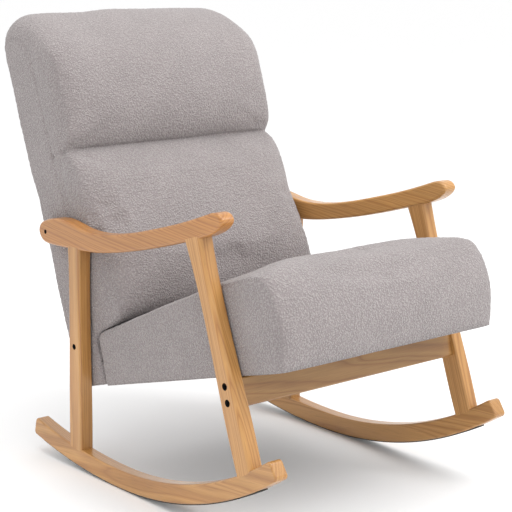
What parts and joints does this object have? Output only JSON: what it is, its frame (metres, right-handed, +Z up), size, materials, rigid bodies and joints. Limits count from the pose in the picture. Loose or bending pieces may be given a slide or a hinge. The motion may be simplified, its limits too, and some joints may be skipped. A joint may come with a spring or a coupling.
{
  "type": "rocking chair",
  "caption": "Upholstered rocking chair: curved wooden runners, slanted legs, flowing armrests, tilted box seat and tall reclined back with a headrest roll.",
  "frame": {"origin": "bottom centre of the chair's bounding box, on the floor", "axes": "+X to the sitter's left, -Y forwards (the way the sitter faces), +Z up; the chair stands in its empty rest attitude"},
  "size_m": [0.6, 0.9206, 0.9148],
  "materials": {
    "lacquered_wood": "satin",
    "dowel_wood": "matte",
    "frame_board": "matte",
    "strip_rubber": "matte",
    "spacer_rubber": "matte",
    "black_steel": "satin",
    "plated_steel": "satin",
    "foam": "matte",
    "fleece": "matte",
    "dust_sheet": "matte",
    "webbing": "matte"
  },
  "bodies": {
    "root": {"anti_slip_strip_left": "strip_rubber", "anti_slip_strip_right": "strip_rubber", "armrest_dowels": "dowel_wood", "armrest_left": "lacquered_wood", "armrest_right": "lacquered_wood", "armrest_screws": "black_steel", "back_bottom_rail": "frame_board", "back_cover": "fleece", "back_lumbar_rail": "frame_board", "back_side_board_left": "frame_board", "back_side_board_right": "frame_board", "back_top_rail": "frame_board", "back_wadding": "foam", "back_webbing": "webbing", "front_cross_rail": "lacquered_wood", "front_leg_left": "lacquered_wood", "front_leg_right": "lacquered_wood", "front_rail_barrel_nuts": "plated_steel", "front_rail_bolts": "black_steel", "headrest_foam": "foam", "leg_foot_dowels": "dowel_wood", "lumbar_foam": "foam", "rear_leg_bolts": "black_steel", "rear_leg_inserts": "plated_steel", "rear_leg_left": "lacquered_wood", "rear_leg_right": "lacquered_wood", "rear_leg_spacers": "spacer_rubber", "rocker_runner_left": "lacquered_wood", "rocker_runner_right": "lacquered_wood", "seat_bearer": "frame_board", "seat_cover": "fleece", "seat_dust_sheet": "dust_sheet", "seat_foam": "foam", "seat_front_board": "frame_board", "seat_mounting_screws": "plated_steel", "seat_rear_board": "frame_board", "seat_side_board_left": "frame_board", "seat_side_board_right": "frame_board", "seat_spring_clips": "plated_steel", "seat_springs": "plated_steel", "seat_to_back_bolts": "plated_steel", "seat_to_back_inserts": "plated_steel"}
  },
  "joints": []
}
